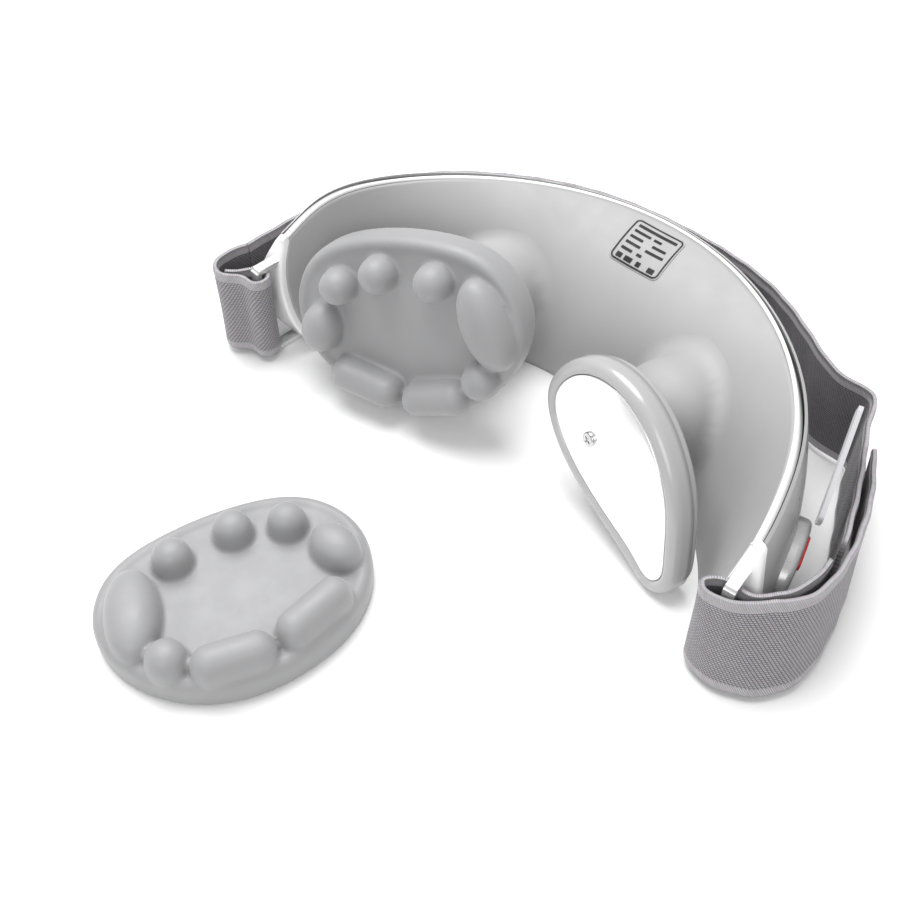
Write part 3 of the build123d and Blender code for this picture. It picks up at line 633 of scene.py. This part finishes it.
# ------------------------------------------------------------------- heads
REACH, STUD_OFFSET = 30.5, 13.5
AIM = {"left": (13.9, 16.3, 7.0), "right": (13.6, 11.7, 28.0)}
BEZEL = (
    (36, -4), (33, 9), (22, 15.3), (5, 16), (-11, 13), (-24, 10.5), (-32.5, 7.5),
    (-34.8, 0), (-29, -9), (-17, -19.5), (-3, -26), (12, -27.3), (25, -22.3), (33, -13.5),
)
PAD = (
    (-38, -1), (-31, -18), (-14, -27.3), (9, -31), (30, -27), (40, -14),
    (39.5, 1), (31, 15.5), (16, 25.3), (-3, 28), (-22, 23.5), (-34.5, 12),
)


class Frame:
    """Origin and axes of a head or pad: x along it, z out of its face."""

    def __init__(self, origin, x, z):
        self.origin, self.x, self.z = np.array(origin, float), np.array(x, float), np.array(z, float)
        self.y = np.cross(self.z, self.x)

    def at(self, u, v, w):
        return self.origin + self.x * u + self.y * v + self.z * w


def head_frame(side_name):
    side = SIDES[side_name]
    inward, up, roll = (radians(value) for value in AIM[side_name])
    aim = np.array((-side * sin(inward) * cos(up), -cos(inward) * cos(up), sin(up)))
    level = np.array((side * aim[1], -side * aim[0], 0.0))
    level /= np.linalg.norm(level)
    length = level * cos(roll) + np.cross(aim, level) * (-side * sin(roll))
    return Frame(BALL[side_name] + aim * REACH - length * STUD_OFFSET, length, aim)


def outline(points, flip, inset, count):
    """Smooth closed outline moved inwards."""
    spots = np.array([(u, flip * v) for u, v in points], float)
    ways = np.roll(spots, -1, 0) - np.roll(spots, 1, 0)
    ways /= np.linalg.norm(ways, axis=1)[:, None]
    moved = spots + np.stack([-ways[:, 1], ways[:, 0]], 1) * inset * flip
    return cubic(moved, count, closed=True)


def shrunk(points, share, centre):
    """Points drawn in towards a centre."""
    return centre + (points - centre) * share


def loft_object(name, plane, rings, made, cap_first=False, cap_last=False, closed=False):
    """Mesh through rings of (2-D points, height), with optional flat ends."""
    count = len(rings[0][0])
    verts = []
    for points, height in rings:
        verts += [tuple(plane.at(u, v, height)) for u, v in points]
    faces = grid_faces(len(rings), count, closed_rows=closed, closed_cols=True)
    for wanted, index in ((cap_first, 0), (cap_last, len(rings) - 1)):
        if wanted:
            points, height = rings[index]
            centre = points.mean(0)
            base = index * count
            for share in (0.75, 0.5, 0.25):
                start = len(verts)
                verts += [tuple(plane.at(u, v, height)) for u, v in shrunk(points, share, centre)]
                for j in range(count):
                    k = (j + 1) % count
                    quad = (base + j, base + k, start + k, start + j)
                    faces.append(quad if index else quad[::-1])
                base = start
            tip = len(verts)
            verts.append(tuple(plane.at(*centre, height)))
            for j in range(count):
                tri = (base + j, base + (j + 1) % count, tip)
                faces.append(tri if index else tri[::-1])
    obj = finish_mesh(name, verts, faces, made)
    if wanted_flip(obj):
        obj.data.flip_normals()
    return obj


def wanted_flip(obj):
    """True when the faces point inwards, from the signed volume."""
    volume = 0.0
    verts = obj.data.vertices
    for polygon in obj.data.polygons:
        spots = [verts[i].co for i in polygon.vertices]
        for k in range(1, len(spots) - 1):
            volume += spots[0].dot(spots[k].cross(spots[k + 1]))
    return volume < 0


HEAD_COUNT = 168


def bezel_profile():
    """Inset and height once round the bezel's section: a quarter round outside, a small lip inside."""
    turns = [pi / 2 * k / 8 for k in range(9)]
    outside = [(3.0 * (1 - cos(a)), -2.5 + 3.0 * sin(a)) for a in turns]
    lip = [(3.3, 0.48), (3.6, 0.38), (3.95, 0.12), (4.3, -0.25), (4.4, -0.5), (4.4, -1.2)]
    return [(0.0, -6.5), (0.0, -4.5), *outside, *lip, (2.8, -2.4), (2.6, -6.3)]


BASE_PROFILE = (
    (3.0, -10.0), (2.2, -9.95), (1.6, -9.6), (1.1, -9.0),
    (0.85, -8.2), (0.8, -7.2), (0.8, -6.65), (3.0, -6.6),
)
PLATE_PROFILE = (
    (4.5, -0.95), (4.5, -0.3), (4.55, -0.12), (4.7, -0.02), (4.95, 0.0), (6.0, 0.0), (8.0, 0.0),
)
# Radius and height once round the boot's section, outside ribs first.
BOOT_PROFILE = (
    (4.1, -9.6), (9.3, -9.7), (9.6, -10.1), (9.6, -11.3), (9.2, -11.8), (8.9, -12.3),
    (9.3, -12.8), (9.7, -13.4), (9.7, -14.4), (9.3, -15.0), (9.0, -15.5), (9.35, -16.1),
    (9.7, -16.7), (9.6, -17.6), (9.0, -18.0), (5.0, -15.2), (4.1, -15.1),
)
BOOT_DROP = 0.35
CIRCLE = np.array([(cos(2 * pi * k / 72), sin(2 * pi * k / 72)) for k in range(72)])


def head_skin(side_name, piece, profile, made, **ends):
    """One skin of a head, its outline stepped in by the profile's insets."""
    rings = [(outline(BEZEL, SIDES[side_name], inset, HEAD_COUNT), height) for inset, height in profile]
    return loft_object(f"{side_name}_{piece}_skin", head_frame(side_name), rings, made, **ends)


for side_name in SIDES:
    bezel = head_skin(side_name, "bezel", bezel_profile(), HEAD_PLASTIC, closed=True)
    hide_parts(f"{side_name}_head_bezel")
    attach(bezel, f"{side_name}_head")

    base = head_skin(side_name, "base", BASE_PROFILE, HEAD_PLASTIC, cap_first=True)
    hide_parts(f"{side_name}_head_base")
    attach(base, f"{side_name}_head")

    plate = head_skin(side_name, "plate", PLATE_PROFILE, MIRROR, cap_first=True, cap_last=True)
    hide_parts(f"{side_name}_electrode_plate")
    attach(plate, f"{side_name}_head")

    rings = [(CIRCLE * radius + (STUD_OFFSET, 0), height - BOOT_DROP) for radius, height in BOOT_PROFILE]
    boot = loft_object(f"{side_name}_boot_skin", head_frame(side_name), rings, BOOT, closed=True)
    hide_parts(f"{side_name}_neck_boot")
    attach(boot, f"{side_name}_stud")

# ------------------------------------------------------ silicone finger pads
PAD_TOP = 2.5
KNOB_HEIGHT = 8.5
KNOB_ROOT = 1.2
# Each knob: centre, turn in degrees, half length, half width and half of its straight run.
KNOBS = {
    "round_front": ((12, -19.4), 0, 5.9, 5.9, 0),
    "round_middle": ((-6.6, -17.8), 0, 5.9, 5.9, 0),
    "round_back": ((-20.6, -10.9), 0, 5.9, 5.9, 0),
    "oval": ((-27, 4.7), 100, 8.5, 6.6, 0),
    "bar_back": ((-10.5, 19.6), 10, 12.5, 5.5, 7.0),
    "bar_front": ((14.2, 18.8), -17, 11.75, 5.5, 6.25),
    "cone": ((28.8, 8.8), 0, 6.0, 6.0, 0),
    "thumb": ((29.6, -9.5), 65, 14.8, 7.8, 0),
}


def knob(plane, flip, centre, turn, long, short, straight):
    """A raised knob: upright sides and a full rounded crown."""
    turn = radians(flip * turn)
    rings = []
    for k in range(15):
        z = k / 14
        level = 1 - (1 - z) ** 1.7
        spread = sqrt(max(0.0, 1 - level ** 3.4))
        height = PAD_TOP - KNOB_ROOT + (KNOB_HEIGHT + KNOB_ROOT) * level
        points = []
        for step in range(64):
            a = 2 * pi * step / 64
            way = 1 if cos(a) > 0 else -1
            u = (long - straight) * spread * cos(a) + straight * way * min(1.0, abs(cos(a)) * 6)
            v = short * spread * sin(a)
            x = centre[0] + u * cos(turn) - v * sin(turn)
            y = flip * centre[1] + u * sin(turn) + v * cos(turn)
            points.append((x, y))
        rings.append((np.array(points), height))
    return loft_object("knob", plane, rings, SILICONE, cap_first=True, cap_last=True)


PAD_COUNT = 200
POCKET_CLEARANCE = 0.7
POCKET_HEIGHTS = (0.5, -1.0, -4.0, -6.6)
PAD_FOOT = -7.0
# Inset and height up the skirt, over the rolled lip and down to the sunk floor.
PAD_PROFILE = (
    (1.0, PAD_FOOT), (0.3, -6.8), (0.05, -6.2), (0.0, -4.5), (0.0, -1.5), (0.15, 0.6),
    (0.6, 1.7), (1.4, 2.6), (2.4, 2.95), (3.4, 2.75), (4.3, 2.35), (5.2, 2.15), (7.0, 2.1),
)
PAD_VOXEL = 0.62
PAD_SMOOTHING = 4


def finger_pad(side_name, plane, flip):
    """One moulded pad: skirt, rolled lip, sunk floor and eight knobs, in one skin."""
    pocket = outline(BEZEL, flip, -POCKET_CLEARANCE, PAD_COUNT)
    rim = outline(PAD, flip, 0, PAD_COUNT)
    shift = int(np.argmin(np.linalg.norm(rim - pocket[0], axis=1)))
    rings = [(pocket, height) for height in POCKET_HEIGHTS] + [(pocket * 1.01, PAD_FOOT)]
    for inset, height in PAD_PROFILE:
        rings.append((np.roll(outline(PAD, flip, inset, PAD_COUNT), -shift, axis=0), height))
    body = loft_object("pad", plane, rings, SILICONE, cap_first=True, cap_last=True)
    knobs = [knob(plane, flip, *values) for values in KNOBS.values()]
    pad = join([body, *knobs], f"{side_name}_pad_skin")
    remesh = pad.modifiers.new("skin", "REMESH")
    remesh.mode = "VOXEL"
    remesh.voxel_size = PAD_VOXEL * MM
    soft = pad.modifiers.new("soft", "SMOOTH")
    soft.factor = 0.5
    soft.iterations = PAD_SMOOTHING
    apply_modifiers(pad)
    for polygon in pad.data.polygons:
        polygon.use_smooth = True
    pad.data.materials.clear()
    pad.data.materials.append(SILICONE)
    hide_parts(f"{side_name}_finger_pad")
    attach(pad, f"{side_name}_pad")


LOOSE_PAD_SPOT = (-18.0, -129.3, 7.0)
LOOSE_PAD_TURN = radians(-101.3)
finger_pad("left", head_frame("left"), -1)
loose_axis = (cos(LOOSE_PAD_TURN), sin(LOOSE_PAD_TURN), 0)
finger_pad("right", Frame(LOOSE_PAD_SPOT, loose_axis, (0, 0, 1)), 1)

# ------------------------------------------------------------------- strap
STRAP_LOW, STRAP_WIDTH, STRAP_THICK = 2.15, 32.7, 1.8
STRAP_ROWS = 23
BINDING_WIDTH = 2.3
WEAVE_SLANT = 0.58
RIPPLE = 0.12


def strap(name, path, shade_side, lean=None, step=1.0):
    """A length of webbing on edge along a plan path, its top edge leaning by lean at each path point.

    The darker webbing, painted shade for the faces turned into the folds and towards the casing, goes on
    the path's left side where the shade argument is 1, and on its right where it is -1.
    """
    points = np.array(path, float)
    lean = np.zeros_like(points) if lean is None else np.array(lean, float)
    length = np.linalg.norm(np.diff(points, axis=0), axis=1).sum()
    count = max(8, int(length / step))
    fine = cubic(points, count)
    knots = np.concatenate([[0], np.cumsum(np.linalg.norm(np.diff(points, axis=0), axis=1))]) / length
    where = np.linspace(0, 1, count)
    leans = np.stack([np.interp(where, knots, lean[:, k]) for k in (0, 1)], 1)
    travel = np.concatenate([[0], np.cumsum(np.linalg.norm(np.diff(fine, axis=0), axis=1))])
    way = np.gradient(fine, axis=0)
    way /= np.linalg.norm(way, axis=1)[:, None]
    side = np.stack([-way[:, 1], way[:, 0]], 1)
    verts, uvs = [], []
    for face in (1, -1):
        for j in range(STRAP_ROWS):
            share = j / (STRAP_ROWS - 1)
            edge = min(share, 1 - share) * STRAP_WIDTH
            half = STRAP_THICK / 2 * (0.62 if edge < 0.01 else (1.0 if edge < 2.4 else 0.86))
            for i in range(count):
                ripple = RIPPLE * sin(travel[i] * 0.55 + share * 5)
                spot = fine[i] + leans[i] * share + side[i] * (face * half + ripple)
                up = STRAP_WIDTH * share
                verts.append((spot[0], spot[1], STRAP_LOW + up))
                uvs.append((travel[i] + WEAVE_SLANT * up, up))
    block = STRAP_ROWS * count
    faces = grid_faces(STRAP_ROWS, count)
    faces += [tuple(block + k for k in face[::-1]) for face in grid_faces(STRAP_ROWS, count)]
    for j in range(STRAP_ROWS - 1):
        for i, turned in ((0, False), (count - 1, True)):
            quad = (j * count + i, (j + 1) * count + i, block + (j + 1) * count + i, block + j * count + i)
            faces.append(quad if turned else quad[::-1])
    for i in range(count - 1):
        for j, turned in ((0, False), (STRAP_ROWS - 1, True)):
            quad = (j * count + i, j * count + i + 1, block + j * count + i + 1, block + j * count + i)
            faces.append(quad[::-1] if turned else quad)
    obj = finish_mesh(name, verts, faces, WEBBING, uvs=uvs)
    if wanted_flip(obj):
        obj.data.flip_normals()
    # Slot 1 is the edge binding; slot 2 is the darker webbing painted on as shade.
    obj.data.materials.append(BINDING)
    obj.data.materials.append(PAINTED_SHADE_WEBBING)
    for polygon in obj.data.polygons:
        z = polygon.center.z / MM - STRAP_LOW
        if z < BINDING_WIDTH or z > STRAP_WIDTH - BINDING_WIDTH:
            polygon.material_index = 1
        # Faces on the side turned into the fold or towards the casing get the painted shade.
        elif all((k < block) == (shade_side > 0) for k in polygon.vertices):
            polygon.material_index = 2
    return obj


BACK_RUN = (
    (-101.7, -49.5), (-100.4, -32), (-96.5, -8), (-85.5, 14), (-66, 32), (-38, 46.5),
    (0, 52), (38, 46), (60, 33.5), (74, 28), (81.8, 27.3), (84.5, 21.5), (90, 8),
    (97.5, -10), (102.3, -24),
)
RIGHT_LOOP = (
    (103.5, -31), (103, -43), (99.8, -50), (94.5, -53.9), (88.5, -54.4), (84.6, -54.9),
    (82.6, -57.4), (83.8, -61), (89, -63.4), (97, -62.6), (105, -57.5), (110, -48),
    (110.4, -37), (108, -24), (103.5, -9), (98.6, 2), (94.6, 9.4),
)
RIGHT_LEAN = (
    (-1, 0), (-1.5, 0.5), (-2, 0.6), (-1, 0), (0, 0), (0, 0), (-1, 0), (-2, 1.6),
    (-3.6, 2.6), (-5, 4.5), (-6.5, 6), (-5.5, 4), (-4.5, 3), (-3.4, 2), (-3, 1), (-2.8, 0.4), (-2.6, 0),
)
LEFT_LOOP = (
    (-97.6, -62.5), (-94.3, -60.0), (-92.2, -56.6), (-89.6, -53.9), (-86.2, -54.6), (-84.9, -57.6),
    (-86.6, -60.6), (-91.2, -60.7), (-97.3, -64.5), (-102.4, -62.3), (-103.3, -54.5), (-101.7, -49.5),
)
back = strap("strap_back", BACK_RUN, -1)
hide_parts("strap_back_run")
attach(back, "casing")
right = strap("strap_right_loop", RIGHT_LOOP, 1, RIGHT_LEAN)
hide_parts("right_strap_loop")
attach(right, "casing")
left = strap("strap_left_loop", LEFT_LOOP, -1, step=0.7)
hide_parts("left_strap_loop")
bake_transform(left)

# ------------------------------------------------- CAD pieces kept as shown
KEPT = {
    "rating_label": FILM, "charging_port": BLACK, "casing_screws": STEEL, "control_panel": SILVER,
    "plus_button": BUTTON, "minus_button": BUTTON, "main_pcb": BOARD, "button_board": BOARD,
    "battery": FOIL, "power_slider": RED, "strap_tab": TAB, "outer_shell": SHELL,
}
KEPT_PER_SIDE = {
    "ball_socket": DARK, "socket_retainer": DARK, "ball_liner": DARK, "ball_stud": DARK, "stud_clip": STEEL,
    "electrode_screw": SCREW, "screw_nut": STEEL, "vibration_motor": STEEL, "motor_weight": STEEL,
    "strap_ring": CHROME, "ring_bracket": DARK,
}
for side_name in SIDES:
    for part, made in KEPT_PER_SIDE.items():
        KEPT[f"{side_name}_{part}"] = made
for name, made in KEPT.items():
    nodes[name].data.materials.clear()
    nodes[name].data.materials.append(made)

# ---------------------------------------------------------- floor and light
FLOOR_HALF = 3000
FLOOR_PALE = moulded("floor_pale", grey(0.93), 0.6, 50.0, 0.0, drift=0.004)
floor_corners = [(x * FLOOR_HALF, y * FLOOR_HALF, 0) for x, y in ((-1, -1), (1, -1), (1, 1), (-1, 1))]
floor = finish_mesh("floor", floor_corners, [(0, 1, 2, 3)], FLOOR_PALE)
world = bpy.data.worlds.new("studio")
bpy.context.scene.world = world
world.use_nodes = True
world.node_tree.nodes["Background"].inputs["Color"].default_value = (1, 1, 1, 1)
world.node_tree.nodes["Background"].inputs["Strength"].default_value = 0.55


def soft_light(name, place_at, aim_at, size, power):
    """A round area light, in metres and watts."""
    lamp = bpy.data.lights.new(name, "AREA")
    lamp.shape = "DISK"
    lamp.size = size
    lamp.energy = power
    obj = bpy.data.objects.new(name, lamp)
    bpy.context.scene.collection.objects.link(obj)
    obj.location = place_at
    obj.rotation_euler = (Vector(aim_at) - Vector(place_at)).to_track_quat("-Z", "Y").to_euler()


soft_light("key", (-0.35, 0.1, 1.0), (0, -0.03, 0.02), 0.9, 14)
soft_light("fill", (0.5, -0.9, 0.8), (0, -0.03, 0.02), 0.7, 4)
bpy.context.scene.view_settings.view_transform = "Standard"
